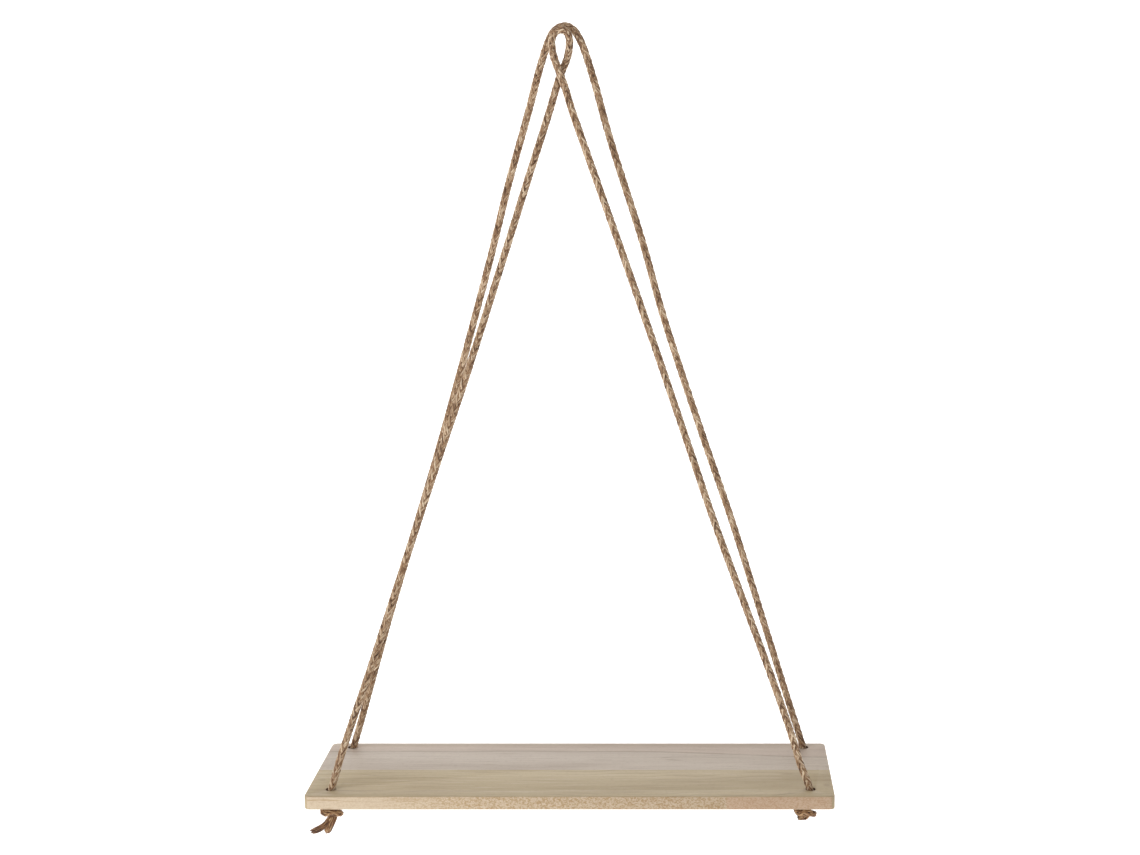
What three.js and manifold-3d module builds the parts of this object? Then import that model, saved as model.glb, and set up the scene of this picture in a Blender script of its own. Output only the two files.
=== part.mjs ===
// Rope wall shelf: one edge-glued board hung from two lengths of braided jute cord. Millimetres, +Z up,
// +X to the right and +Y away from the viewer. The origin is where a nail or peg carries the cords, at the
// underside of the front cord's small loop.
import * as THREE from 'three'
import { mergeVertices } from 'three/addons/utils/BufferGeometryUtils.js'
import Module from 'manifold-3d'

// Board
const boardLength = 500
const boardDepth = 150
const boardThickness = 13
const boardCentreX = 4 // the cords meet a little to the left of the board's middle
const boardTopZ = -705.5
const boardUndersideZ = boardTopZ - boardThickness
const cornerRadius = 5
const easedEdge = 0.8
const holeDiameter = 9.5
const holeSides = 24
const holeHalfSpan = 228
const frontHoleY = -55
const backHoleY = 63
const holeLeftX = boardCentreX - holeHalfSpan
const holeRightX = boardCentreX + holeHalfSpan

// Cord
const cordRadius = 3.15
const valleyShare = 0.8 // the braid's hollows, as a share of its crests
const braidPeriod = 22 // a strand goes once round the cord in this length
const cordSides = 8
const plainStep = braidPeriod / 4 // ring spacing along the straight legs
const fineStep = 2.2 // ring spacing where the cord bends tightly
const loopFootZ = -52 // the loop over the nail ends below its crossing, at this height

// Knots
const knotUnit = 5.5 // centre to centre of the cord where it lies against itself in a knot
const knotSqueeze = 0.78 // a tight knot presses the cord this much thinner
const squeezeLength = 8 // the squeeze sets in over this length, inside the hole
const holeSlack = 1.3 // how far the cord may lie off the middle of its hole
const knotDrop = 8.8 // from the board's underside to a knot's middle
const knotZ = boardUndersideZ - knotDrop
const forkFromEnd = 2 // where the bundles of an unlaid tail part

const jute = new THREE.MeshStandardMaterial({ color: 0xa98a66, roughness: 0.95, metalness: 0 })
const wood = new THREE.MeshStandardMaterial({ color: 0xc9b393, roughness: 0.62, metalness: 0 })

// An overhand knot in knot units, about its middle. The cord comes down inside it, goes round behind and to the
// right, across the front as a band, round the left and behind again, and leaves downwards through its own loop.
const knotLoop = [
  [-0.35, 0.1, 0.6], [-0.5, 0.45, 0.1], [-0.4, 0.97, -0.4], [0.3, 1.22, -0.75],
  [1.1, 0.88, -0.8], [1.45, 0, -0.55], [1, -0.85, -0.15], [0, -1.05, 0.15],
  [-0.95, -0.85, -0.1], [-1.45, -0.05, 0], [-1.3, 0.8, 0.5], [-0.5, 1.25, 0.8],
  [0.35, 0.95, 0.5], [0.5, 0.45, 0], [0.38, 0.1, -0.6]
]

// Each knot: the hole it stops, its middle in X, how far it leans to the left and turns about the vertical in
// radians, and its tail in knot units.
const knots = {
  frontLeft: {
    holeX: holeLeftX, y: frontHoleY, x: -223.9, lean: 0.06, turn: 0,
    tail: [[0, -0.1, -1.1], [-0.5, -0.3, -1.5], [-0.85, -0.45, -1.9]]
  },
  frontRight: {
    holeX: holeRightX, y: frontHoleY, x: 227.3, lean: 0, turn: 0,
    tail: [[-0.1, -0.05, -1.05], [-0.7, -0.1, -1.1], [-1.15, -0.15, -1.05]]
  },
  backLeft: {
    holeX: holeLeftX, y: backHoleY, x: -223.3, lean: 0.1, turn: 0.5,
    tail: [[0.2, 0, -1.3], [0.05, 0.2, -2.1], [-0.1, 0.3, -2.9]]
  },
  backRight: {
    holeX: holeRightX, y: backHoleY, x: 231.3, lean: 0.15, turn: -0.6,
    tail: [[0.2, 0, -1.3], [0.3, 0.25, -2.1], [0.5, 0.4, -2.8]]
  }
}

// Routes between the holes, from the left hole over the nail to the right one
const backRoute = [
  [-222.9, 62.9, -705.5], [-217.3, 61.6, -687], [-207.5, 58.9, -654.5], [-177.5, 50.8, -554],
  [-128.5, 38.5, -401], [-105.8, 32.4, -326], [-72, 23.2, -210], [-51.4, 17.2, -134],
  [-32.2, 12.1, -70.5], [-20.4, 9, -29], [-11.9, 7.1, -5.5], [-7.2, 6.7, 2.2],
  [1.9, 6.7, 6.8], [9.9, 6.7, 3.8], [16.1, 6.8, -5], [20.3, 7.3, -15],
  [28.8, 9.4, -42.6], [42.3, 13.8, -93.7], [72.1, 21.6, -190.5], [92.2, 27.4, -264],
  [131, 37.2, -385], [157, 43.4, -462.5], [196.2, 53.6, -590.5], [215.7, 58.9, -654.5],
  [228, 62.2, -694], [231.1, 62.9, -705.5]
]
const frontRoute = [
  [-223, -54.8, -705.5], [-215, -52.8, -677.5], [-205.2, -50.6, -648.5], [-186.9, -46.4, -596.6],
  [-164.1, -41.2, -529], [-116.6, -30.4, -388], [-92, -24.8, -317], [-55.7, -16.2, -206],
  [-32.1, -10.4, -133], [-11.6, -5.2, -70.4], [-4.6, -1.9, -47], [-1.3, 0.3, -37],
  [4.3, 0.5, -24], [6.7, 0.2, -14], [7, 0, -5], [4.9, 0, 0.7],
  [0, 0, 3.15], [-5.3, -0.1, 1.5], [-8.8, -1, -5], [-8.5, -2.8, -15],
  [-6.2, -4.9, -24], [-1.5, -6.6, -36.5], [2.4, -6.7, -47], [9.5, -7.4, -70.4],
  [17.3, -8.6, -93], [75.2, -20.4, -258], [119, -30.3, -387], [138.5, -34.8, -445],
  [197.5, -47.3, -606], [215, -51.2, -657.6], [222, -52.8, -681], [231.1, -54.9, -705.5]
]

// The front left tail is unlaid into two bundles of yarn, each a short rod from the fork
const tailBundles = [
  { to: [-242.6, -58.5, -746], startRadius: 1.7, endRadius: 2.1 },
  { to: [-227.6, -58, -746.3], startRadius: 1.9, endRadius: 2.4 }
]

const wasm = await Module()
wasm.setup()

function positionOnly(geometry) {
  for (const name of ['normal', 'uv']) geometry.deleteAttribute(name)
  return mergeVertices(geometry, 1e-4)
}

function toSolid(geometry) {
  const merged = positionOnly(geometry)
  return new wasm.Manifold(new wasm.Mesh({
    numProp: 3,
    vertProperties: new Float32Array(merged.attributes.position.array),
    triVerts: new Uint32Array(merged.index.array)
  }))
}

function toGeometry(solid) {
  const mesh = solid.getMesh()
  const geometry = new THREE.BufferGeometry()
  geometry.setAttribute('position', new THREE.BufferAttribute(mesh.vertProperties, 3))
  geometry.setIndex(new THREE.BufferAttribute(mesh.triVerts, 1))
  return geometry
}

function boardOutline() {
  const halfLength = boardLength / 2 - easedEdge
  const halfDepth = boardDepth / 2 - easedEdge
  const radius = cornerRadius - easedEdge
  const shape = new THREE.Shape()
  shape.absarc(halfLength - radius, halfDepth - radius, radius, 0, Math.PI / 2)
  shape.absarc(-halfLength + radius, halfDepth - radius, radius, Math.PI / 2, Math.PI)
  shape.absarc(-halfLength + radius, -halfDepth + radius, radius, Math.PI, 1.5 * Math.PI)
  shape.absarc(halfLength - radius, -halfDepth + radius, radius, 1.5 * Math.PI, 2 * Math.PI)
  return shape
}

function drill(x, y) {
  const drillBit = new THREE.CylinderGeometry(holeDiameter / 2, holeDiameter / 2, 2 * boardThickness, holeSides)
  return drillBit.rotateX(Math.PI / 2).translate(x, y, boardThickness / 2 - easedEdge)
}

function makeBoard() {
  const slab = new THREE.ExtrudeGeometry(boardOutline(), {
    depth: boardThickness - 2 * easedEdge,
    curveSegments: 6,
    bevelThickness: easedEdge,
    bevelSize: easedEdge,
    bevelSegments: 3
  })
  let solid = toSolid(slab)
  for (const x of [-holeHalfSpan, holeHalfSpan]) {
    for (const y of [frontHoleY, backHoleY]) solid = solid.subtract(toSolid(drill(x, y)))
  }
  const board = new THREE.Mesh(toGeometry(solid), wood)
  board.name = 'board'
  board.position.set(boardCentreX, 0, boardUndersideZ + easedEdge)
  return board
}

function placeInKnot(knot, point) {
  return new THREE.Vector3(...point)
    .multiplyScalar(knotUnit)
    .applyAxisAngle(new THREE.Vector3(0, 1, 0), -knot.lean)
    .applyAxisAngle(new THREE.Vector3(0, 0, 1), knot.turn)
    .add(new THREE.Vector3(knot.x, knot.y, knotZ))
}

// From the underside of the hole, where the cord lies a little off its middle, round the knot and along the tail
function knotPath(knot) {
  const loop = [...knotLoop, ...knot.tail].map(point => placeInKnot(knot, point))
  const middle = new THREE.Vector3(knot.holeX, knot.y, boardUndersideZ)
  const off = loop[0].clone().sub(middle).setZ(0).multiplyScalar(0.5).clampLength(0, holeSlack)
  return [middle.add(off), ...loop]
}

function cordRoute(route, leftKnot, rightKnot) {
  const points = [
    ...knotPath(leftKnot).reverse(),
    ...route.map(point => new THREE.Vector3(...point)),
    ...knotPath(rightKnot)
  ]
  const curve = new THREE.CatmullRomCurve3(points, false, 'centripetal')
  curve.arcLengthDivisions = 6000
  return curve
}

// Fine rings where the cord is knotted or turns over the nail, plain ones along the straight legs
function ringPlaces(curve) {
  const length = curve.getLength()
  const places = [0]
  let at = 0
  while (at < length) {
    const point = curve.getPointAt(Math.min(at / length, 1))
    const inBend = point.z < boardTopZ || point.z > loopFootZ
    at += inBend ? fineStep : plainStep
    places.push(Math.min(at, length))
  }
  const last = places.length - 1
  if (places[last] - places[last - 1] < fineStep / 2) places.splice(last - 1, 1)
  return places
}

function carriedFrames(curve, places) {
  const length = curve.getLength()
  const normal = new THREE.Vector3(0, -1, 0)
  return places.map(place => {
    const share = place / length
    const tangent = curve.getTangentAt(share)
    normal.addScaledVector(tangent, -normal.dot(tangent)).normalize()
    const side = new THREE.Vector3().crossVectors(tangent, normal)
    return { centre: curve.getPointAt(share), normal: normal.clone(), side, place }
  })
}

// Two strands wound each way cross on the cord's front and back, then on its sides, a quarter period later
function braidRadius(angle, place) {
  const phase = 2 * Math.PI * place / braidPeriod
  const crest = 0.5 + 0.5 * Math.cos(2 * angle) * Math.cos(2 * phase)
  return cordRadius * THREE.MathUtils.lerp(valleyShare, 1, crest)
}

function squeezeAt(centre) {
  const above = THREE.MathUtils.smoothstep(centre.z, boardUndersideZ, boardUndersideZ + squeezeLength)
  return THREE.MathUtils.lerp(knotSqueeze, 1, above)
}

// A closed rod of unit size is bent along the route, and its points are raised into the braid
function bendAlong(curve) {
  const frames = carriedFrames(curve, ringPlaces(curve))
  const steps = frames.length - 1
  const rod = positionOnly(new THREE.CylinderGeometry(1, 1, steps, cordSides, steps))
  const position = rod.attributes.position
  for (let i = 0; i < position.count; i++) {
    const x = position.getX(i)
    const z = position.getZ(i)
    const frame = frames[Math.round(position.getY(i) + steps / 2)]
    const reach = Math.hypot(x, z)
    const radius = reach * braidRadius(Math.atan2(z, x), frame.place) * squeezeAt(frame.centre)
    const point = frame.centre.clone()
    if (reach > 0) {
      point.addScaledVector(frame.normal, x / reach * radius)
      point.addScaledVector(frame.side, -z / reach * radius)
    }
    position.setXYZ(i, point.x, point.y, point.z)
  }
  return rod
}

function tailBundle(from, bundle) {
  const start = from.clone()
  const end = new THREE.Vector3(...bundle.to)
  const along = end.clone().sub(start)
  const rod = new THREE.CylinderGeometry(bundle.endRadius, bundle.startRadius, along.length(), cordSides, 2)
  const turn = new THREE.Quaternion().setFromUnitVectors(new THREE.Vector3(0, 1, 0), along.normalize())
  rod.applyQuaternion(turn)
  const middle = start.add(end).multiplyScalar(0.5)
  return rod.translate(middle.x, middle.y, middle.z)
}

function makeCord(name, route, leftKnot, rightKnot, bundles) {
  const curve = cordRoute(route, leftKnot, rightKnot)
  let solid = toSolid(bendAlong(curve))
  const fork = curve.getPointAt(forkFromEnd / curve.getLength())
  for (const bundle of bundles) solid = solid.add(toSolid(tailBundle(fork, bundle)))
  const cord = new THREE.Mesh(toGeometry(solid), jute)
  cord.name = name
  cord.userData.length = curve.getLength()
  return cord
}

const shelf = new THREE.Group()
shelf.add(
  makeBoard(),
  makeCord('cord_back', backRoute, knots.backLeft, knots.backRight, []),
  makeCord('cord_front', frontRoute, knots.frontLeft, knots.frontRight, tailBundles)
)

export default shelf
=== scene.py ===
# Rope wall shelf: an edge-glued wooden board hung from two braided jute cords
# Metres, +Z up, +Y towards the wall, the nail at the origin
import random
from math import cos, pi, radians, sin

import bmesh
import bpy
import numpy as np
from mathutils import Matrix, Quaternion, Vector


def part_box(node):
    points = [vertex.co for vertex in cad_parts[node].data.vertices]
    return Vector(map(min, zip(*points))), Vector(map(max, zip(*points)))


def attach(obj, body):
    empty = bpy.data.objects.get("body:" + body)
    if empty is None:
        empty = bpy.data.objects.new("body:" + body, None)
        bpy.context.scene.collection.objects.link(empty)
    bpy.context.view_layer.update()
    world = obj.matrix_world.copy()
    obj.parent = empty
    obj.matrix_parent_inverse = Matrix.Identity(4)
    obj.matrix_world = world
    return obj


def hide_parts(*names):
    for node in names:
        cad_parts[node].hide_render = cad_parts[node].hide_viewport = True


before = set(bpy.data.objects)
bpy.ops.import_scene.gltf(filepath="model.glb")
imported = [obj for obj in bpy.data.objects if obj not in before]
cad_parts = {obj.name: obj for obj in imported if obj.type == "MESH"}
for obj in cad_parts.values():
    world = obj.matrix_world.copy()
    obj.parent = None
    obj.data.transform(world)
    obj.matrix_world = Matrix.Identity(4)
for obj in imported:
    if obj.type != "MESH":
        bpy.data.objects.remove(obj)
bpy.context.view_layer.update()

mm = 0.001
boardLow, boardHigh = [Vector(corner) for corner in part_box("board")]
boardUnderside = boardLow.z
boardTop = boardHigh.z
boardCentre = (boardLow + boardHigh) / 2


# Camera
view = {
    "imageWidth": 1140,        # pixels
    "focalPixels": 1900,
    "opticalCentreX": 694,     # the picture is cropped more on its left
    "place": (0.1212, -1.775, -0.0565),
    "pitchDown": 9.9,          # degrees
    "sensor": 36,
}


def makeCamera():
    camera = bpy.data.objects.new("camera", bpy.data.cameras.new("camera"))
    bpy.context.collection.objects.link(camera)
    camera.data.sensor_fit = "HORIZONTAL"
    camera.data.sensor_width = view["sensor"]
    camera.data.lens = view["sensor"] * view["focalPixels"] / view["imageWidth"]
    camera.data.shift_x = 0.5 - view["opticalCentreX"] / view["imageWidth"]
    camera.location = view["place"]
    camera.rotation_euler = (radians(90 - view["pitchDown"]), 0, 0)
    bpy.context.scene.camera = camera


makeCamera()
print("camera set")


# Cord routes, the same points as the CAD part's
cordFacts = {
    "radius": 3.15 * mm,
    "crestReach": 3.7 * mm,    # single yarns stand a little proud of that
    "period": 36.4 * mm,       # a strand goes once round the cord in this length, four Vs of the braid
    "strandsEachWay": 4,
    "yarnRadius": 0.92 * mm,
    "yarnSpread": 0.52,        # radians between the two yarns of a strand, halfway between crossings
    "crossingSpread": 0.12,    # a strand flattens and widens by this much where it lies on top
    "wave": 0.36 * mm,         # how far a strand rises and sinks as it passes over and under
    "coreRadius": 2.2 * mm,
    "seamReach": 2.85 * mm,    # the seams between yarns lie about this far from the cord's middle
    "knotSqueeze": 0.88,       # a tight knot presses the cord this much thinner
    "squeezeLength": 14 * mm,  # the cord is pressed thinner over this length above a knot
    "legStep": 2.6 * mm,       # between the rings of a yarn, on the legs
    "loopStep": 1.2 * mm,      # over the nail
    "knotStep": 0.9 * mm,      # in the holes and knots
    "loopFoot": -52 * mm,      # the turn over the nail ends at this height
    "swellStep": 20 * mm,      # hand-spun yarn swells and thins between points this far apart
    "swell": (0.93, 1.06),
}

knotUnit = 5.5 * mm
knotZ = boardUnderside - 8.8 * mm
holeSlack = 1.3 * mm
frontHoleY = -0.055
backHoleY = 0.063
holeLeftX = -0.224
holeRightX = 0.232
holeRadius = 4.75 * mm
holePlaces = [(x, y) for x in (holeLeftX, holeRightX) for y in (frontHoleY, backHoleY)]

knotLoop = [
    (-0.35, 0.1, 0.6), (-0.5, 0.45, 0.1), (-0.4, 0.97, -0.4), (0.3, 1.22, -0.75),
    (1.1, 0.88, -0.8), (1.45, 0, -0.55), (1, -0.85, -0.15), (0, -1.05, 0.15),
    (-0.95, -0.85, -0.1), (-1.45, -0.05, 0), (-1.3, 0.8, 0.5), (-0.5, 1.25, 0.8),
    (0.35, 0.95, 0.5), (0.5, 0.45, 0), (0.38, 0.1, -0.6),
]
knots = {
    "frontLeft": {
        "holeX": holeLeftX, "y": frontHoleY, "x": -0.2239, "lean": 0.06, "turn": 0,
        "tail": [(0, -0.1, -1.1), (-0.5, -0.3, -1.5), (-0.85, -0.45, -1.9)],
    },
    "frontRight": {
        "holeX": holeRightX, "y": frontHoleY, "x": 0.2273, "lean": 0, "turn": 0,
        "tail": [(-0.1, -0.05, -1.05), (-0.7, -0.1, -1.1), (-1.15, -0.15, -1.05)],
    },
    "backLeft": {
        "holeX": holeLeftX, "y": backHoleY, "x": -0.2233, "lean": 0.1, "turn": 0.5,
        "tail": [(0.2, 0, -1.3), (0.05, 0.2, -2.1), (-0.1, 0.3, -2.9)],
    },
    "backRight": {
        "holeX": holeRightX, "y": backHoleY, "x": 0.2313, "lean": 0.15, "turn": -0.6,
        "tail": [(0.2, 0, -1.3), (0.3, 0.25, -2.1), (0.5, 0.4, -2.8)],
    },
}
backRoute = [
    (-0.2229, 0.0629, -0.7055), (-0.2173, 0.0616, -0.687), (-0.2075, 0.0589, -0.6545),
    (-0.1775, 0.0508, -0.554), (-0.1285, 0.0385, -0.401), (-0.1058, 0.0324, -0.326),
    (-0.072, 0.0232, -0.21), (-0.0514, 0.0172, -0.134), (-0.0322, 0.0121, -0.0705),
    (-0.0204, 0.009, -0.029), (-0.0119, 0.0071, -0.0055), (-0.0072, 0.0067, 0.0022),
    (0.0019, 0.0067, 0.0068), (0.0099, 0.0067, 0.0038), (0.0161, 0.0068, -0.005),
    (0.0203, 0.0073, -0.015), (0.0288, 0.0094, -0.0426), (0.0423, 0.0138, -0.0937),
    (0.0721, 0.0216, -0.1905), (0.0922, 0.0274, -0.264), (0.131, 0.0372, -0.385),
    (0.157, 0.0434, -0.4625), (0.1962, 0.0536, -0.5905), (0.2157, 0.0589, -0.6545),
    (0.228, 0.0622, -0.694), (0.2311, 0.0629, -0.7055),
]
frontRoute = [
    (-0.223, -0.0548, -0.7055), (-0.215, -0.0528, -0.6775), (-0.2052, -0.0506, -0.6485),
    (-0.1869, -0.0464, -0.5966), (-0.1641, -0.0412, -0.529), (-0.1166, -0.0304, -0.388),
    (-0.092, -0.0248, -0.317), (-0.0557, -0.0162, -0.206), (-0.0321, -0.0104, -0.133),
    (-0.0116, -0.0052, -0.0704), (-0.0046, -0.0019, -0.047), (-0.0013, 0.0003, -0.037),
    (0.0043, 0.0005, -0.024), (0.0067, 0.0002, -0.014), (0.007, 0, -0.005),
    (0.0049, 0, 0.0007), (0, 0, 0.00315), (-0.0053, -0.0001, 0.0015),
    (-0.0088, -0.001, -0.005), (-0.0085, -0.0028, -0.015), (-0.0062, -0.0049, -0.024),
    (-0.0015, -0.0066, -0.0365), (0.0024, -0.0067, -0.047), (0.0095, -0.0074, -0.0704),
    (0.0173, -0.0086, -0.093), (0.0752, -0.0204, -0.258), (0.119, -0.0303, -0.387),
    (0.1385, -0.0348, -0.445), (0.1975, -0.0473, -0.606), (0.215, -0.0512, -0.6576),
    (0.222, -0.0528, -0.681), (0.2311, -0.0549, -0.7055),
]


def placeInKnot(knot, point):
    lean = Quaternion((0, 1, 0), -knot["lean"])
    turn = Quaternion((0, 0, 1), knot["turn"])
    return turn @ (lean @ (Vector(point) * knotUnit)) + Vector((knot["x"], knot["y"], knotZ))


def knotPath(knot):
    loop = [placeInKnot(knot, point) for point in knotLoop + knot["tail"]]
    middle = Vector((knot["holeX"], knot["y"], boardUnderside))
    off = (loop[0] - middle) * 0.5
    off.z = 0
    if off.length > holeSlack:
        off *= holeSlack / off.length
    return [middle + off, *loop]


def smoothLine(points, samples=40):
    # A centripetal Catmull-Rom curve through the points, as the CAD part's
    knot = np.array(points, float)
    knot = np.vstack([2 * knot[0] - knot[1], knot, 2 * knot[-1] - knot[-2]])
    t = np.linspace(0, 1, samples, endpoint=False)[:, None]
    line = []
    for p0, p1, p2, p3 in zip(knot, knot[1:], knot[2:], knot[3:]):
        d0, d1, d2 = [np.linalg.norm(b - a) ** 0.5 for a, b in ((p0, p1), (p1, p2), (p2, p3))]
        m1 = ((p1 - p0) / d0 - (p2 - p0) / (d0 + d1) + (p2 - p1) / d1) * d1
        m2 = ((p2 - p1) / d1 - (p3 - p1) / (d1 + d2) + (p3 - p2) / d2) * d1
        line.append(p1 + m1 * t + (3 * (p2 - p1) - 2 * m1 - m2) * t ** 2 + (2 * (p1 - p2) + m1 + m2) * t ** 3)
    return np.vstack([*line, knot[-2:-1]])


def lengthsAlong(line):
    return np.concatenate([[0], np.cumsum(np.linalg.norm(np.diff(line, axis=0), axis=1))])


def ringPlaces(line, along):
    # Fine rings where the cord is knotted or turns over the nail, coarser ones along the legs
    places = [0.0]
    while places[-1] < along[-1]:
        z = np.interp(places[-1], along, line[:, 2])
        step = cordFacts["legStep"]
        if z > cordFacts["loopFoot"]:
            step = cordFacts["loopStep"]
        if z < boardTop:
            step = cordFacts["knotStep"]
        places.append(min(places[-1] + step, along[-1]))
    return np.array(places)


def pointsAt(line, along, places):
    return np.stack([np.interp(places, along, line[:, k]) for k in range(3)], axis=1)


def carriedFrames(centres):
    # A normal carried along the route without twisting, starting towards the viewer
    tangents = np.gradient(centres, axis=0)
    tangents /= np.linalg.norm(tangents, axis=1)[:, None]
    normal = np.array([0, -1.0, 0])
    normals = []
    for tangent in tangents:
        normal = normal - tangent * (normal @ tangent)
        normal /= np.linalg.norm(normal)
        normals.append(normal)
    normals = np.array(normals)
    return normals, np.cross(tangents, normals)


def cordGuide(route, leftKnot, rightKnot):
    points = [*reversed(knotPath(leftKnot)), *[Vector(p) for p in route], *knotPath(rightKnot)]
    line = smoothLine(points)
    along = lengthsAlong(line)
    places = ringPlaces(line, along)
    centres = pointsAt(line, along, places)
    normals, sides = carriedFrames(centres)
    above = np.clip((centres[:, 2] - boardUnderside) / cordFacts["squeezeLength"], 0, 1)
    above = above * above * (3 - 2 * above)
    squeeze = cordFacts["knotSqueeze"] + (1 - cordFacts["knotSqueeze"]) * above
    return {
        "centres": centres, "normals": normals, "sides": sides, "places": places,
        "squeeze": squeeze, "length": float(along[-1]),
    }


def addTubes(bm, lines, radius, tone, sides=6, radii=None, guide=None):
    # Bevelled curves through the lines, turned to a mesh and added to the piece with their tone. On a yarn of
    # the braid, height runs from 0 in the seams to 1 on the crests; the jute paints shade into the seams by
    # it.
    curve = bpy.data.curves.new("tubes", "CURVE")
    curve.dimensions = "3D"
    curve.bevel_depth = radius
    curve.bevel_resolution = (sides - 4) // 2
    curve.use_fill_caps = True
    for i, line in enumerate(lines):
        spline = curve.splines.new("POLY")
        spline.points.add(len(line) - 1)
        spline.points.foreach_set("co", np.hstack([line, np.ones((len(line), 1))]).ravel())
        spline.points.foreach_set("radius", np.ones(len(line)) if radii is None else radii[i])
        spline.use_smooth = True
    carrier = bpy.data.objects.new("tubes", curve)
    mesh = bpy.data.meshes.new_from_object(carrier)
    vertexCount = len(bm.verts)
    faceCount = len(bm.faces)
    bm.from_mesh(mesh)
    bm.verts.ensure_lookup_table()
    bm.faces.ensure_lookup_table()
    toneLayer = bm.verts.layers.float.get("tone") or bm.verts.layers.float.new("tone")
    heightLayer = bm.verts.layers.float.get("height") or bm.verts.layers.float.new("height")
    uvLayer = bm.loops.layers.uv.verify()
    for i in range(vertexCount, len(bm.verts)):
        vertex = bm.verts[i]
        vertex[toneLayer] = tone
        vertex[heightLayer] = 1
        ring = (i - vertexCount) // sides
        if guide and ring < len(guide["places"]):
            reach = np.linalg.norm(guide["centres"][ring] - vertex.co) / guide["squeeze"][ring]
            low, high = cordFacts["seamReach"], cordFacts["crestReach"]
            vertex[heightLayer] = min(max((reach - low) / (high - low), 0), 1)
    length = lengthsAlong(np.array(lines[0]))[-1]
    for i in range(faceCount, len(bm.faces)):
        face = bm.faces[i]
        face.smooth = True
        for loop in face.loops:
            loop[uvLayer].uv.x *= length / mm
    bpy.data.meshes.remove(mesh)
    bpy.data.curves.remove(curve)


def finishPiece(name, bm, material):
    mesh = bpy.data.meshes.new(name)
    bm.to_mesh(mesh)
    bm.free()
    mesh.materials.append(material)
    piece = bpy.data.objects.new(name, mesh)
    bpy.context.collection.objects.link(piece)
    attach(piece, "root")
    return piece


def around(guide, angle, reach):
    # Points beside the cord's centreline, at that angle and distance
    return (
        guide["centres"]
        + guide["normals"] * (np.cos(angle) * reach)[:, None]
        + guide["sides"] * (np.sin(angle) * reach)[:, None]
    )


def yarnLines(guide):
    # Four strands wound each way, each passing over two of the others and then under two. The Vs of the
    # braid face the viewer.
    wave = cordFacts["wave"]
    middleReach = cordFacts["crestReach"] - cordFacts["yarnRadius"] - wave
    phase = 2 * pi * guide["places"] / cordFacts["period"]
    lines = []
    for way in (1, -1):
        for strand in range(cordFacts["strandsEachWay"]):
            lift = way * np.cos(2 * phase + way * (pi * strand - pi / 4))
            lift = lift * (1.5 - 0.5 * lift ** 2)
            spread = cordFacts["yarnSpread"] + cordFacts["crossingSpread"] * lift
            reach = (middleReach + wave * lift) * guide["squeeze"]
            turn = way * phase + strand * 2 * pi / cordFacts["strandsEachWay"] + pi / 8
            for beside in (-0.5, 0.5):
                lines.append(around(guide, turn + beside * spread, reach))
    return lines


# Loose fibres along each cord, and bristles at its cut ends
hairFacts = {
    "sides": 4,
    "fibres": 620,             # on each cord
    "fibreRadius": 0.05 * mm,
    "fibreTone": 1,
    "fibreRoot": -0.5 * mm,    # a fibre starts inside the crests and ends outside them
    "fibreLift": 1.5 * mm,     # the furthest
    "fibreLeastLift": 0.15,    # the square root of the least, as a share of the furthest
    "fibreRise": (0.25, 0.7, 1),
    "fibreTurn": (0, 0.15, 0.35, 0.5),   # radians round the cord, at most
    "bristles": 70,            # at each cut end
    "bristleRadius": 0.11 * mm,
    "bristleTone": 0.4,
    "bristlePlace": (0.1, 0.9),    # out from the cord's middle, as a share of its radius
    "bristleRoot": 0.4 * mm,
    "bristleLength": (0.8, 2),     # mm, as the next two
    "bristleSplay": 0.7,
    "bristleBend": (-0.1, 0.15),
}


def looseFibres(guide, seed):
    # Short hairs that leave the braid and lie back along it
    rng = random.Random(seed)
    lines = []
    last = len(guide["places"]) - 1
    rings = len(hairFacts["fibreTurn"])
    for _ in range(hairFacts["fibres"]):
        at = rng.randint(0, last - rings)
        picks = np.arange(at, at + rings)
        angle = rng.uniform(0, 2 * pi) + np.array(hairFacts["fibreTurn"]) * rng.uniform(-1, 1)
        lift = rng.uniform(hairFacts["fibreLeastLift"], 1) ** 2 * hairFacts["fibreLift"]
        rise = np.array([hairFacts["fibreRoot"], *[share * lift for share in hairFacts["fibreRise"]]])
        reach = (cordFacts["radius"] + rise) * guide["squeeze"][at]
        line = (
            guide["centres"][picks]
            + guide["normals"][picks] * (np.cos(angle) * reach)[:, None]
            + guide["sides"][picks] * (np.sin(angle) * reach)[:, None]
        )
        lines.append(line if rng.random() < 0.5 else line[::-1])
    return lines


def cutEndFibres(guide, seed, atStart):
    # The cut end of a cord bristles a little
    rng = random.Random(seed)
    end = 0 if atStart else -1
    inner = 2 if atStart else -3
    centre = guide["centres"][end]
    outwards = centre - guide["centres"][inner]
    outwards /= np.linalg.norm(outwards)
    lines = []
    for _ in range(hairFacts["bristles"]):
        angle = rng.uniform(0, 2 * pi)
        reach = cordFacts["radius"] * guide["squeeze"][end] * rng.uniform(*hairFacts["bristlePlace"])
        across = guide["normals"][end] * cos(angle) + guide["sides"][end] * sin(angle)
        root = centre + across * reach - outwards * hairFacts["bristleRoot"]
        forward = outwards * rng.uniform(*hairFacts["bristleLength"]) * mm
        tip = root + forward + across * rng.uniform(0, hairFacts["bristleSplay"]) * mm
        bend = (root + tip) / 2 + across * rng.uniform(*hairFacts["bristleBend"]) * mm
        lines.append(np.array([root, bend, tip]))
    return lines


noTint = "#FFFFFF"


def toLinear(hexCode):
    parts = [int(hexCode[i:i + 2], 16) / 255 for i in (1, 3, 5)]
    return tuple(c / 12.92 if c <= 0.04045 else ((c + 0.055) / 1.055) ** 2.4 for c in parts) + (1,)


def addNode(tree, kind, inputs=None, **settings):
    node = tree.nodes.new(kind)
    for name, value in settings.items():
        setattr(node, name, value)
    for name, value in (inputs or {}).items():
        if isinstance(value, bpy.types.NodeSocket):
            tree.links.new(value, node.inputs[name])
        else:
            node.inputs[name].default_value = value
    return node


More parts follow.
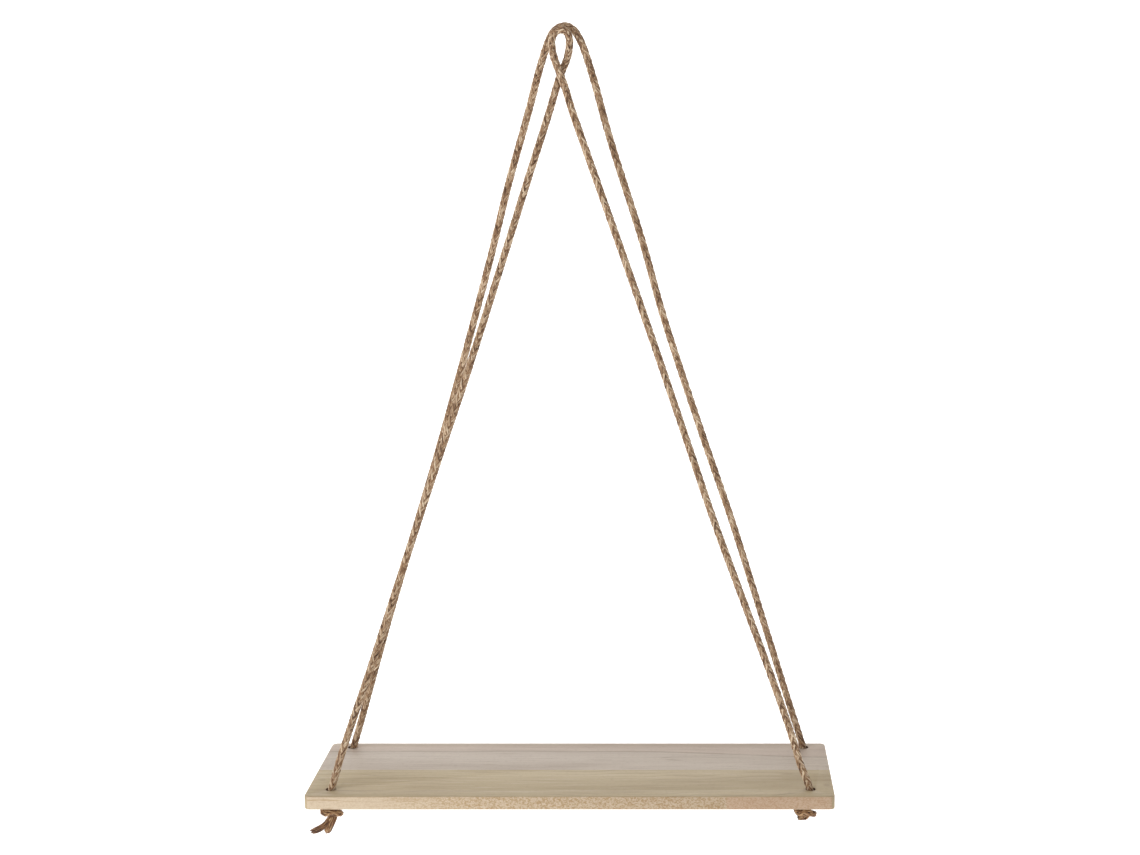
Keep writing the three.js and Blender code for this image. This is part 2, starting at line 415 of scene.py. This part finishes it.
def addMath(tree, operation, *values):
    return addNode(tree, "ShaderNodeMath", dict(enumerate(values)), operation=operation).outputs[0]


def addNoise(tree, place, **settings):
    return addNode(tree, "ShaderNodeTexNoise", {"Vector": place, **settings}).outputs["Fac"]


def addRamp(tree, factor, stops):
    ramp = addNode(tree, "ShaderNodeValToRGB", {"Fac": factor})
    elements = ramp.color_ramp.elements
    while len(elements) < len(stops):
        elements.new(1)
    for element, (position, hexCode) in zip(elements, stops):
        element.position = position
        element.color = toLinear(hexCode)
    return ramp.outputs["Color"]


def newMaterial(name):
    material = bpy.data.materials.new(name)
    material.use_nodes = True
    material.node_tree.nodes.clear()
    return material


def finishMaterial(material, shader):
    addNode(material.node_tree, "ShaderNodeOutputMaterial", {"Surface": shader.outputs["BSDF"]})
    return material


def tint(tree, colour, tintColour):
    node = addNode(tree, "ShaderNodeMix", data_type="RGBA", blend_type="MULTIPLY")
    node.inputs["Factor"].default_value = 1
    tree.links.new(colour, node.inputs[6])
    tree.links.new(tintColour, node.inputs[7])
    return node.outputs[2]


# Jute, spun into soft yarns and braided. Dry bast fibre: matt, streaked along the yarn, pale where the light
# catches a fibre, with painted shade in the seams between yarns, and painted shade with handling dirt below
# the board.
jute = {
    "shade": "#4A2F1C",
    "body": "#9F7B59",
    "light": "#E4CFB2",
    # the seam colour is painted shade, laid on the yarns where they sink between their neighbours
    "seam": "#2E1D12",
    "knotted": "#DFCDB6",      # below the board the cord is darker by this tint: painted shade under the board, and handling dirt
    "streakLength": 9,         # mm along the yarn
    "streaksRound": 2.6,
    "streakNoise": {"Scale": 1.4, "Detail": 3, "Roughness": 0.6},
    "streakContrast": 2.3,
    "streakOffset": -0.89,
    "patchNoise": {"Scale": 45, "Detail": 2},   # patches about 20 mm long
    "patchShare": 0.2,
    "toneShare": 0.3,          # one yarn is lighter than the next by this much
    "toneShift": 37.0,         # and has its streaks elsewhere
    "fibreStops": (0.12, 0.5, 0.9),
    "seamShadeStops": (0.22, 0.93),
    "knottedHeight": 3 * mm,   # the tint fades out above the board's underside
    "bump": {"Strength": 0.5, "Distance": 0.15 * mm},
    "finish": {"Roughness": 0.82, "IOR": 1.53, "Sheen Weight": 0.15},
}


def makeJute():
    material = newMaterial("braidedJute")
    tree = material.node_tree
    uv = addNode(tree, "ShaderNodeUVMap", uv_map="UVMap").outputs["UV"]
    tone = addNode(tree, "ShaderNodeAttribute", attribute_name="tone").outputs["Fac"]
    place = addNode(tree, "ShaderNodeSeparateXYZ", {"Vector": uv}).outputs
    streakPlace = addNode(tree, "ShaderNodeCombineXYZ", {
        "X": addMath(tree, "MULTIPLY", place["X"], 1 / jute["streakLength"]),
        "Y": addMath(tree, "MULTIPLY", place["Y"], jute["streaksRound"]),
        "Z": addMath(tree, "MULTIPLY", tone, jute["toneShift"]),
    }).outputs["Vector"]
    streaks = addNoise(tree, streakPlace, **jute["streakNoise"])
    objectPlace = addNode(tree, "ShaderNodeTexCoord").outputs["Object"]
    patches = addNoise(tree, objectPlace, **jute["patchNoise"])
    mixed = addMath(tree, "MULTIPLY_ADD", streaks, jute["streakContrast"], jute["streakOffset"])
    mixed = addMath(tree, "MULTIPLY_ADD", patches, jute["patchShare"], mixed)
    mixed = addMath(tree, "MULTIPLY_ADD", tone, jute["toneShare"], mixed)
    fibreColours = (jute["shade"], jute["body"], jute["light"])
    fibre = addRamp(tree, mixed, list(zip(jute["fibreStops"], fibreColours)))
    # Painted shade: the yarns darken towards the seams, where they lie deeper in the braid
    height = addNode(tree, "ShaderNodeAttribute", attribute_name="height").outputs["Fac"]
    paintedSeamShade = addRamp(tree, height, list(zip(jute["seamShadeStops"], (jute["seam"], noTint))))
    # Painted shade under the board, with handling dirt: the cord darkens below the board's underside
    level = addNode(tree, "ShaderNodeSeparateXYZ", {"Vector": objectPlace}).outputs["Z"]
    above = addNode(tree, "ShaderNodeMapRange", {
        "Value": level, "From Min": boardUnderside, "From Max": boardUnderside + jute["knottedHeight"],
    }).outputs["Result"]
    shadeAndDirtBelow = addRamp(tree, above, [(0.0, jute["knotted"]), (1.0, noTint)])
    colour = tint(tree, tint(tree, fibre, paintedSeamShade), shadeAndDirtBelow)
    bump = addNode(tree, "ShaderNodeBump", {"Height": streaks, **jute["bump"]})
    shader = addNode(tree, "ShaderNodeBsdfPrincipled", {
        "Base Color": colour, "Normal": bump.outputs["Normal"], **jute["finish"],
    })
    return finishMaterial(material, shader)


juteMaterial = makeJute()


def wander(length, rng):
    # Hand-spun yarn swells and thins over a few centimetres
    at = np.arange(0, length + cordFacts["swellStep"], cordFacts["swellStep"])
    return at, np.array([rng.uniform(*cordFacts["swell"]) for _ in at])


def makeCord(name, node, route, leftKnot, rightKnot, seed, extraPieces=()):
    guide = cordGuide(route, knots[leftKnot], knots[rightKnot])
    rng = random.Random(seed)
    bm = bmesh.new()
    radii = guide["squeeze"]
    for line in yarnLines(guide):
        swell = np.interp(guide["places"], *wander(guide["length"], rng))
        addTubes(bm, [line], cordFacts["yarnRadius"], rng.random(), radii=[radii * swell], guide=guide)
    addTubes(bm, [guide["centres"]], cordFacts["coreRadius"], 0, radii=[radii], guide=guide)
    addTubes(bm, looseFibres(guide, seed + 1), hairFacts["fibreRadius"], hairFacts["fibreTone"],
             sides=hairFacts["sides"])
    for atStart in (True, False):
        if not (atStart and leftKnot == "frontLeft"):    # that end is unlaid and has hairs of its own
            addTubes(bm, cutEndFibres(guide, seed + 2, atStart), hairFacts["bristleRadius"],
                     hairFacts["bristleTone"], sides=hairFacts["sides"])
    piece = finishPiece(name, bm, juteMaterial)
    extra = [make(guide, seed + 3) for make in extraPieces]
    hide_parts(node)
    print(name, "made,", round(guide["length"], 4), "m long,", len(piece.data.polygons), "faces")
    return guide


# The front left tail has come unlaid into two bundles of yarn, side by side from the knot
tailFacts = {
    "yarnsEach": 10,           # nine round a tenth
    "bundles": [
        {"to": (-0.2424, -0.0585, -0.7468), "aside": -1.7 * mm, "startRadius": 2.6 * mm,
         "endRadius": 3.5 * mm, "twist": 0.9},
        {"to": (-0.2286, -0.058, -0.7471), "aside": 1.7 * mm, "startRadius": 3 * mm,
         "endRadius": 3.6 * mm, "twist": -0.7},
    ],
    "startRing": 9,            # of the cord, where the bundles leave the knot
    "headingRings": 5,         # they set out the way the cord runs over these rings
    "trunk": 11 * mm,          # and keep together this far
    "points": 12,              # along each yarn
    "bow": 0.6 * mm,
    "jitter": 0.1,             # radians round the bundle
    "innerShare": 0.15,        # the tenth yarn stays this near a bundle's middle
    "innerExtra": 1 * mm,      # and stands out of its end by this
    "uneven": 0.3,             # mm between the ends of the other yarns
    "roundedFrom": 0.85,       # a bundle's end is rounded from here
    "rounding": 0.3,
    "yarnRadius": 0.95 * mm,
    "rootTaper": 0.9,
    "tipTaper": 0.75,
    "tones": (-0.3, 0.7),      # the loosened yarns have been handled most, and are darker
    "hairsPerYarn": 6,
    "hairRadius": 0.1 * mm,
    "hairSpread": 0.35,        # mm
    "hairRoot": 0.7,           # its root and tip, as shares of that
    "hairTip": 1.8,
    "hairDepth": 0.6 * mm,
    "hairLength": (0.2, 1.1),  # mm past the yarn's end
    "hairSag": 0.1 * mm,
}


def bundleRadius(bundle, t):
    return bundle["startRadius"] * (1 - t) + bundle["endRadius"] * t


def yarnReach(bundle, inner, t):
    # How far a yarn lies from its bundle's middle
    reach = bundleRadius(bundle, t) - tailFacts["yarnRadius"]
    if inner:
        return reach * tailFacts["innerShare"]
    roundedFrom = tailFacts["roundedFrom"]
    return reach * (1 - tailFacts["rounding"] * max(t - roundedFrom, 0) / (1 - roundedFrom))


def tailHairs(tips, rng):
    lines = []
    for tip, outwards in tips:
        for _ in range(tailFacts["hairsPerYarn"]):
            aside = Vector((rng.gauss(0, 1), rng.gauss(0, 1), rng.gauss(0, 1)))
            aside *= tailFacts["hairSpread"] * mm
            root = tip + aside * tailFacts["hairRoot"] - outwards * tailFacts["hairDepth"]
            reach = rng.uniform(*tailFacts["hairLength"]) * mm
            hairTip = tip + aside * tailFacts["hairTip"] + outwards * reach
            middle = (root + hairTip) / 2 - Vector((0, 0, tailFacts["hairSag"]))
            lines.append(np.array([list(root), list(middle), list(hairTip)]))
    return lines


def makeUnlaidTail(guide, seed):
    rng = random.Random(seed)
    bm = bmesh.new()
    startRing = tailFacts["startRing"]
    knotFoot = Vector(guide["centres"][startRing])
    down = (knotFoot - Vector(guide["centres"][startRing + tailFacts["headingRings"]])).normalized()
    taper = np.ones(tailFacts["points"])
    taper[0] = tailFacts["rootTaper"]
    taper[-1] = tailFacts["tipTaper"]
    outer = tailFacts["yarnsEach"] - 1
    for bundle in tailFacts["bundles"]:
        fork = knotFoot + Vector((bundle["aside"], 0, 0))
        elbow = fork + down * tailFacts["trunk"]
        end = Vector(bundle["to"])
        along = (end - fork).normalized()
        across = along.cross(Vector((0, 1, 0))).normalized()
        beside = along.cross(across)
        tips = []
        for i in range(tailFacts["yarnsEach"]):
            inner = i == outer
            extra = rng.uniform(-tailFacts["uneven"], tailFacts["uneven"]) * mm
            if inner:
                extra += tailFacts["innerExtra"]
            line = []
            core = []
            thickness = []
            for t in np.linspace(0, 1, tailFacts["points"]):
                turn = 2 * pi * i / outer + bundle["twist"] * t
                turn += rng.uniform(-tailFacts["jitter"], tailFacts["jitter"])
                middle = fork.lerp(elbow, t).lerp(elbow.lerp(end, t), t) + along * extra * t
                middle += beside * (tailFacts["bow"] * sin(pi * t))
                outwards = across * cos(turn) + beside * sin(turn)
                line.append(middle + outwards * yarnReach(bundle, inner, t))
                core.append(list(middle))
                thickness.append(bundleRadius(bundle, t) / cordFacts["crestReach"])
            seams = {"centres": np.array(core), "squeeze": thickness, "places": core}
            addTubes(bm, [np.array([list(p) for p in line])], tailFacts["yarnRadius"],
                     rng.uniform(*tailFacts["tones"]), radii=[taper], guide=seams)
            tips.append((line[-1], (line[-1] - line[-3]).normalized()))
        addTubes(bm, tailHairs(tips, rng), tailFacts["hairRadius"], 0, sides=hairFacts["sides"])
    return finishPiece("front_unlaid_tail", bm, juteMaterial)


makeCord("back_braided_cord", "cord_back", backRoute, "backLeft", "backRight", seed=11)
makeCord("front_braided_cord", "cord_front", frontRoute, "frontLeft", "frontRight", seed=29,
         extraPieces=[makeUnlaidTail])


# Board
boardFacts = {
    "cornerRadius": 5 * mm,
    "easedEdge": 0.8 * mm,
    "cornerSegments": 10,
    "edgeSegments": 4,
    "holeSides": 48,
    "holeChamfer": 0.35 * mm,
    "chamferSegments": 2,
    "drillLength": 40 * mm,
    "sharpAngle": 40,          # degrees
}


def boardBlock():
    bm = bmesh.new()
    size = boardHigh - boardLow
    place = Matrix.Translation(boardCentre) @ Matrix.Diagonal((*size, 1))
    bmesh.ops.create_cube(bm, size=1, matrix=place)
    upright = [e for e in bm.edges if abs(e.verts[0].co.z - e.verts[1].co.z) > size.z / 2]
    bmesh.ops.bevel(bm, geom=upright, offset=boardFacts["cornerRadius"],
                    segments=boardFacts["cornerSegments"], profile=0.5, affect="EDGES", material=-1)
    rims = [e for e in bm.edges if abs(e.verts[0].co.z - e.verts[1].co.z) < 0.1 * mm]
    bmesh.ops.bevel(bm, geom=rims, offset=boardFacts["easedEdge"], segments=boardFacts["edgeSegments"],
                    profile=0.5, affect="EDGES", material=-1)
    return bm


def drillBits():
    bm = bmesh.new()
    for x, y in holePlaces:
        bmesh.ops.create_cone(bm, cap_ends=True, segments=boardFacts["holeSides"], radius1=holeRadius,
                              radius2=holeRadius, depth=boardFacts["drillLength"],
                              matrix=Matrix.Translation((x, y, boardCentre.z)))
    return bm


def temporaryObject(name, bm):
    mesh = bpy.data.meshes.new(name)
    bm.to_mesh(mesh)
    bm.free()
    thing = bpy.data.objects.new(name, mesh)
    bpy.context.collection.objects.link(thing)
    return thing


def onHoleRim(edge):
    # Short edges round a hole, on the board's top or underside
    near = 0.1 * mm
    for end in edge.verts:
        if min(abs(end.co.z - boardTop), abs(end.co.z - boardUnderside)) > near:
            return False
    if edge.calc_length() > 1.05 * 2 * holeRadius * sin(pi / boardFacts["holeSides"]):
        return False
    fromHoles = [(end.co.xy - Vector(place)).length for end in edge.verts for place in holePlaces]
    return any(abs(distance - holeRadius) < near for distance in fromHoles)


def makeBoard(material):
    block = temporaryObject("block", boardBlock())
    bits = temporaryObject("bits", drillBits())
    drill = block.modifiers.new("drill", "BOOLEAN")
    drill.operation = "DIFFERENCE"
    drill.solver = "EXACT"
    drill.object = bits
    drilled = bpy.data.meshes.new_from_object(block.evaluated_get(bpy.context.evaluated_depsgraph_get()))
    bm = bmesh.new()
    bm.from_mesh(drilled)
    for thing in (block, bits):
        bpy.data.objects.remove(thing)
    holeEdges = [edge for edge in bm.edges if onHoleRim(edge)]
    bmesh.ops.bevel(bm, geom=holeEdges, offset=boardFacts["holeChamfer"], profile=0.5,
                    segments=boardFacts["chamferSegments"], affect="EDGES", material=-1)
    for face in bm.faces:
        face.smooth = True
    board = finishPiece("shelf_board", bm, material)
    board.data.set_sharp_from_angle(angle=radians(boardFacts["sharpAngle"]))
    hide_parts("board")
    print("board made,", len(board.data.polygons), "faces,", len(holeEdges), "hole edges eased")
    return board


# Light hardwood, planed, edge-glued from two strips and sanded, with no varnish: matt, with fine brown grain
# lines along it, a greyer back strip and a yellower front one, and a speckled front edge.
wood = {
    "backPale": "#CABDAF",
    "backDeep": "#B9AA9B",
    "backPink": "#C3B0A1",
    "frontPale": "#C7B695",
    "frontDeep": "#B09D7B",
    "streakPale": "#DDD0BC",
    "edgePale": "#D4C1A7",
    "edgeDeep": "#B5976F",
    "edgePink": "#D1AF95",
    "edgeLine": "#A98657",
    "endGrainAndShade": "#BCA78B",
    "line": "#8F7660",
    "holeWallShade": "#5E4733",       # painted shade on the holes' walls
    "arrisShade": "#B39B7B",        # painted shade along the front edge's two arrises
    "topShadeRight": "#F3F1EE",     # painted shade: the light falls off towards the right end, painted by these tints
    "edgeShadeRight": "#E6E2DE",
    "jointY": -3 * mm,         # where the two strips are glued
    "jointBlur": 0.3 * mm,
    "growthY": 50 * mm,        # a single dark growth line in the back strip, pinker wood behind it
    "growthDrift": -17 * mm,   # how far it comes forward at the right end
    "growthBend": 5 * mm,
    "ringSpacing": 9 * mm,
    "ringSway": 60 * mm,
    "pinkFromX": 151.8 * mm,   # the front edge is pinker from here
    # Patterns: noise scale per metre, detail, stretch along the axes and roughness
    "bandNoise": (16, 2, (0.2, 1.6, 1.6), 0.5),         # some 40 mm wide, drawn out along the board
    "streakNoise": (300, 4, (0.07, 1, 1), 0.55),        # grain about 3 mm wide and 50 mm long
    "poreNoise": (900, 2, (0.25, 1, 1), 0.6),           # fine pores, 1 mm across
    "growthNoise": (9, 1, (0.7, 0.1, 0.1), 0.5),        # the growth line's slow bends, 150 mm long
    "growthGapNoise": (50, 3, (0.5, 0.1, 0.1), 0.5),    # it fades every 40 mm or so
    "swayNoise": (13, 3, (0.35, 0.6, 0.6), 0.5),        # the rings' waves, 200 mm long
    "ringGapNoise": (30, 2, (0.35, 1, 1), 0.5),         # rings show in places about 100 mm long
    "speckNoise": (1100, 3, (0.6, 1, 1), 0.6),          # specks of 1 mm
    "edgeLineNoise": (420, 3, (0.05, 1, 1), 0.6),       # lines about 2 mm apart and 50 mm long
    "arrisNoise": (30, 2, (1, 0.1, 0.1), 0.5),
    # How strongly each of these shows
    "streakDark": 0.24,
    "streakLight": 0.25,
    "poreDark": 0.3,
    "growthDark": 0.55,
    "pinkBehind": 0.7,
    "ringDark": 0.34,
    "smootherLeft": 0.7,       # the edge's left part is smoother
    "lineShare": 0.15,         # and has more lines along it
    "lineShareLeft": 0.35,
    "edgePinkness": 0.5,
    "arrisDark": 0.8,
    "endDark": 0.7,
    "finish": {"Roughness": 0.6, "IOR": 1.5},
    "bump": {"Strength": 0.25, "Distance": 0.12 * mm},
    # Small dark marks in the grain: place, half length, half width (mm), slope and strength
    "marks": [
        (-237, -30, 5, 4, 0, 0.3), (101, 25, 11, 2, -0.12, 0.4), (93, 32, 8, 1.6, 0.2, 0.35),
        (212, -14.5, 9, 1.7, 0, 0.45), (206, -68.5, 17, 1.5, 0.29, 0.45), (248, -44, 4, 4, 0, 0.3),
        (-12, -69, 14, 1.4, -0.08, 0.3), (-80, 12, 12, 1.4, 0.03, 0.3),
    ],
}


def makeWood():
    material = newMaterial("sandedEdgeGluedWood")
    tree = material.node_tree
    place = addNode(tree, "ShaderNodeTexCoord").outputs["Object"]
    axis = addNode(tree, "ShaderNodeSeparateXYZ", {"Vector": place}).outputs

    def math(operation, *values):
        return addMath(tree, operation, *values)

    def noise(pattern):
        scale, detail, stretch, roughness = wood[pattern]
        stretched = addNode(tree, "ShaderNodeMapping", {"Vector": place, "Scale": stretch}).outputs["Vector"]
        return addNoise(tree, stretched, Scale=scale, Detail=detail, Roughness=roughness)

    def step(value, low, high):
        # 0 at low, 1 at high and smooth between them
        return addNode(tree, "ShaderNodeMapRange", {
            "Value": value, "From Min": low, "From Max": high,
        }, interpolation_type="SMOOTHSTEP").outputs["Result"]

    def mix(factor, first, second, blend="MIX"):
        node = addNode(tree, "ShaderNodeMix", data_type="RGBA", blend_type=blend)
        for socket, value in zip((node.inputs[0], node.inputs[6], node.inputs[7]), (factor, first, second)):
            if isinstance(value, bpy.types.NodeSocket):
                tree.links.new(value, socket)
            else:
                socket.default_value = value
        return node.outputs[2]

    def paint(colour, where, strength, name):
        # Lays one of the wood's colours over another
        return mix(math("MULTIPLY", where, strength), colour, toLinear(wood[name]))

    # Painted shade: the light falls off towards the board's right end
    def paintShadeTowardsRight(colour, name):
        return mix(along, colour, mix(1, colour, toLinear(wood[name]), "MULTIPLY"))

    bands = noise("bandNoise")
    streaks = noise("streakNoise")
    pores = noise("poreNoise")
    along = step(axis["X"], -0.2, 0.25)
    back = addRamp(tree, bands, [(0.3, wood["backDeep"]), (0.7, wood["backPale"])])
    front = addRamp(tree, bands, [(0.3, wood["frontDeep"]), (0.7, wood["frontPale"])])
    inBack = step(axis["Y"], wood["jointY"] - wood["jointBlur"], wood["jointY"] + wood["jointBlur"])
    # The growth line wanders about its place and drifts towards the front on the right
    toRight = step(axis["X"], 0.05, 0.27)
    bend = math("MULTIPLY_ADD", noise("growthNoise"), wood["growthBend"],
                wood["growthY"] - wood["growthBend"] / 2)
    growth = math("MULTIPLY_ADD", toRight, wood["growthDrift"], bend)
    behind = step(math("SUBTRACT", axis["Y"], growth), 0, 3 * mm)
    back = paint(back, behind, wood["pinkBehind"], "backPink")
    colour = mix(inBack, front, back)
    colour = paint(colour, step(streaks, 0.5, 0.72), wood["streakDark"], "line")
    colour = paint(colour, step(streaks, 0.46, 0.28), wood["streakLight"], "streakPale")
    colour = paint(colour, step(pores, 0.5, 0.75), wood["poreDark"], "line")
    away = math("ABSOLUTE", math("SUBTRACT", axis["Y"], growth))
    line = math("MULTIPLY", step(away, 2.1 * mm, 0.5 * mm), step(noise("growthGapNoise"), 0.2, 0.5))
    colour = paint(colour, line, wood["growthDark"], "line")
    # Growth rings cut at a slant leave long wavy lines in the front strip
    sway = math("MULTIPLY", noise("swayNoise"), wood["ringSway"])
    ring = math("FRACT", math("DIVIDE", math("ADD", axis["Y"], sway), wood["ringSpacing"]))
    ring = step(math("ABSOLUTE", math("SUBTRACT", ring, 0.5)), 0.16, 0.02)
    ring = math("MULTIPLY", ring, step(noise("ringGapNoise"), 0.42, 0.62))
    ring = math("MULTIPLY", ring, math("SUBTRACT", 1, inBack))
    colour = paint(colour, ring, wood["ringDark"], "line")
    for x, y, halfLength, halfWidth, slope, strength in wood["marks"]:
        fromX = math("SUBTRACT", axis["X"], x * mm)
        fromY = math("SUBTRACT", math("SUBTRACT", axis["Y"], y * mm), math("MULTIPLY", fromX, slope))
        lengthwise = math("POWER", math("DIVIDE", fromX, halfLength * mm), 2)
        widthwise = math("POWER", math("DIVIDE", fromY, halfWidth * mm), 2)
        colour = paint(colour, step(math("ADD", lengthwise, widthwise), 1, 0.1), strength, "line")
    colour = paintShadeTowardsRight(colour, "topShadeRight")
    # The front edge shows the fibres' sides as warm specks, and as lines on its left
    edge = addRamp(tree, noise("speckNoise"), [(0.42, wood["edgeDeep"]), (0.55, wood["edgePale"])])
    smoother = step(axis["X"], -0.07, -0.2)
    edge = paint(edge, smoother, wood["smootherLeft"], "edgePale")
    lineShare = math("MULTIPLY_ADD", smoother, wood["lineShareLeft"], wood["lineShare"])
    edge = paint(edge, step(noise("edgeLineNoise"), 0.5, 0.66), lineShare, "edgeLine")
    pink = step(axis["X"], wood["pinkFromX"] - 0.5 * mm, wood["pinkFromX"] + 0.5 * mm)
    edge = paint(edge, pink, wood["edgePinkness"], "edgePink")
    edge = paintShadeTowardsRight(edge, "edgeShadeRight")
    # Painted shade: a thin, patchy dark line along the front edge's top and bottom arrises
    fromHeart = math("ABSOLUTE", math("SUBTRACT", axis["Z"], boardCentre.z))
    halfThick = (boardTop - boardUnderside) / 2
    onArris = math("MULTIPLY", step(fromHeart, halfThick - 0.9 * mm, halfThick - 0.4 * mm),
                   step(noise("arrisNoise"), 0.25, 0.5))
    edge = paint(edge, onArris, wood["arrisDark"], "arrisShade")
    onEdge = step(axis["Y"], boardLow.y + 0.6 * mm, boardLow.y + 0.35 * mm)
    colour = mix(onEdge, colour, edge)
    # End grain on the two ends, darkened further with painted shade
    fromMiddle = math("ABSOLUTE", math("SUBTRACT", axis["X"], boardCentre.x))
    toEnd = (boardHigh.x - boardLow.x) / 2
    onEnd = step(fromMiddle, toEnd - 0.6 * mm, toEnd - 0.35 * mm)
    colour = paint(colour, onEnd, wood["endDark"], "endGrainAndShade")
    # Painted shade inside the holes, found by folding the board on its middle lines
    holeX = math("SUBTRACT", fromMiddle, (holeRightX - holeLeftX) / 2)
    holeY = math("SUBTRACT", math("ABSOLUTE", math("SUBTRACT", axis["Y"], (backHoleY + frontHoleY) / 2)),
                 (backHoleY - frontHoleY) / 2)
    fromHole = math("SQRT", math("ADD", math("MULTIPLY", holeX, holeX), math("MULTIPLY", holeY, holeY)))
    colour = mix(step(fromHole, holeRadius + 0.3 * mm, holeRadius), colour, toLinear(wood["holeWallShade"]))
    height = math("ADD", math("MULTIPLY", streaks, 0.6), math("MULTIPLY", pores, 0.4))
    bump = addNode(tree, "ShaderNodeBump", {"Height": height, **wood["bump"]})
    shader = addNode(tree, "ShaderNodeBsdfPrincipled", {
        "Base Color": colour, "Normal": bump.outputs["Normal"], **wood["finish"],
    })
    return finishMaterial(material, shader)


makeBoard(makeWood())


# Studio: a white sweep below and behind, a large soft light beside the camera and a fill on the right
studio = {
    "floorZ": -3.2,
    "wallY": 2.6,
    "wallTop": 9,
    "reach": 40,
    "sweepRadius": 1.4,
    "sweepSegments": 24,
    "white": "#F7F7F6",
    "paperRoughness": 0.9,
    "glow": 0.62,
    "world": 0.3,
    "keyPlace": (-2.0, -1.7, 0.2),
    "keySize": 3.2,
    "keyPower": 56,
    "fillPlace": (1.9, -2.0, -0.1),
    "fillSize": 1.6,
    "fillPower": 5,
    "aim": (0, 0, -0.4),
}


def makeSweep():
    bm = bmesh.new()
    reach, floorZ, wallY = studio["reach"], studio["floorZ"], studio["wallY"]
    places = [(-reach, -reach, floorZ), (-reach, wallY, floorZ), (-reach, wallY, studio["wallTop"])]
    profile = [bm.verts.new(place) for place in places]
    edges = [bm.edges.new(pair) for pair in zip(profile, profile[1:])]
    made = bmesh.ops.extrude_edge_only(bm, edges=edges)["geom"]
    moved = [v for v in made if isinstance(v, bmesh.types.BMVert)]
    bmesh.ops.translate(bm, verts=moved, vec=(2 * reach, 0, 0))
    corner = [e for e in bm.edges if all(
        abs(v.co.y - wallY) < mm and abs(v.co.z - floorZ) < mm for v in e.verts)]
    bmesh.ops.bevel(bm, geom=corner, offset=studio["sweepRadius"], segments=studio["sweepSegments"],
                    profile=0.5, affect="EDGES", material=-1)
    bmesh.ops.recalc_face_normals(bm, faces=bm.faces)
    for face in bm.faces:
        face.smooth = True
    sweep = temporaryObject("sweep", bm)
    material = newMaterial("matWhitePaper")
    shader = addNode(material.node_tree, "ShaderNodeBsdfPrincipled", {
        "Base Color": toLinear(studio["white"]), "Roughness": studio["paperRoughness"],
        "Emission Color": (1, 1, 1, 1), "Emission Strength": studio["glow"],
    })
    sweep.data.materials.append(finishMaterial(material, shader))


def makeLight(name, place, size, power):
    light = bpy.data.lights.new(name, "AREA")
    light.size = size
    light.energy = power
    lamp = bpy.data.objects.new(name, light)
    lamp.location = place
    lamp.rotation_euler = (Vector(studio["aim"]) - Vector(place)).to_track_quat("-Z", "Y").to_euler()
    bpy.context.collection.objects.link(lamp)


def makeWorld():
    world = bpy.data.worlds.new("studio")
    world.use_nodes = True
    background = world.node_tree.nodes["Background"]
    background.inputs["Color"].default_value = (1, 1, 1, 1)
    background.inputs["Strength"].default_value = studio["world"]
    bpy.context.scene.world = world
    bpy.context.scene.view_settings.view_transform = "Standard"


makeSweep()
makeLight("key", studio["keyPlace"], studio["keySize"], studio["keyPower"])
makeLight("fill", studio["fillPlace"], studio["fillSize"], studio["fillPower"])
makeWorld()
print("studio set")
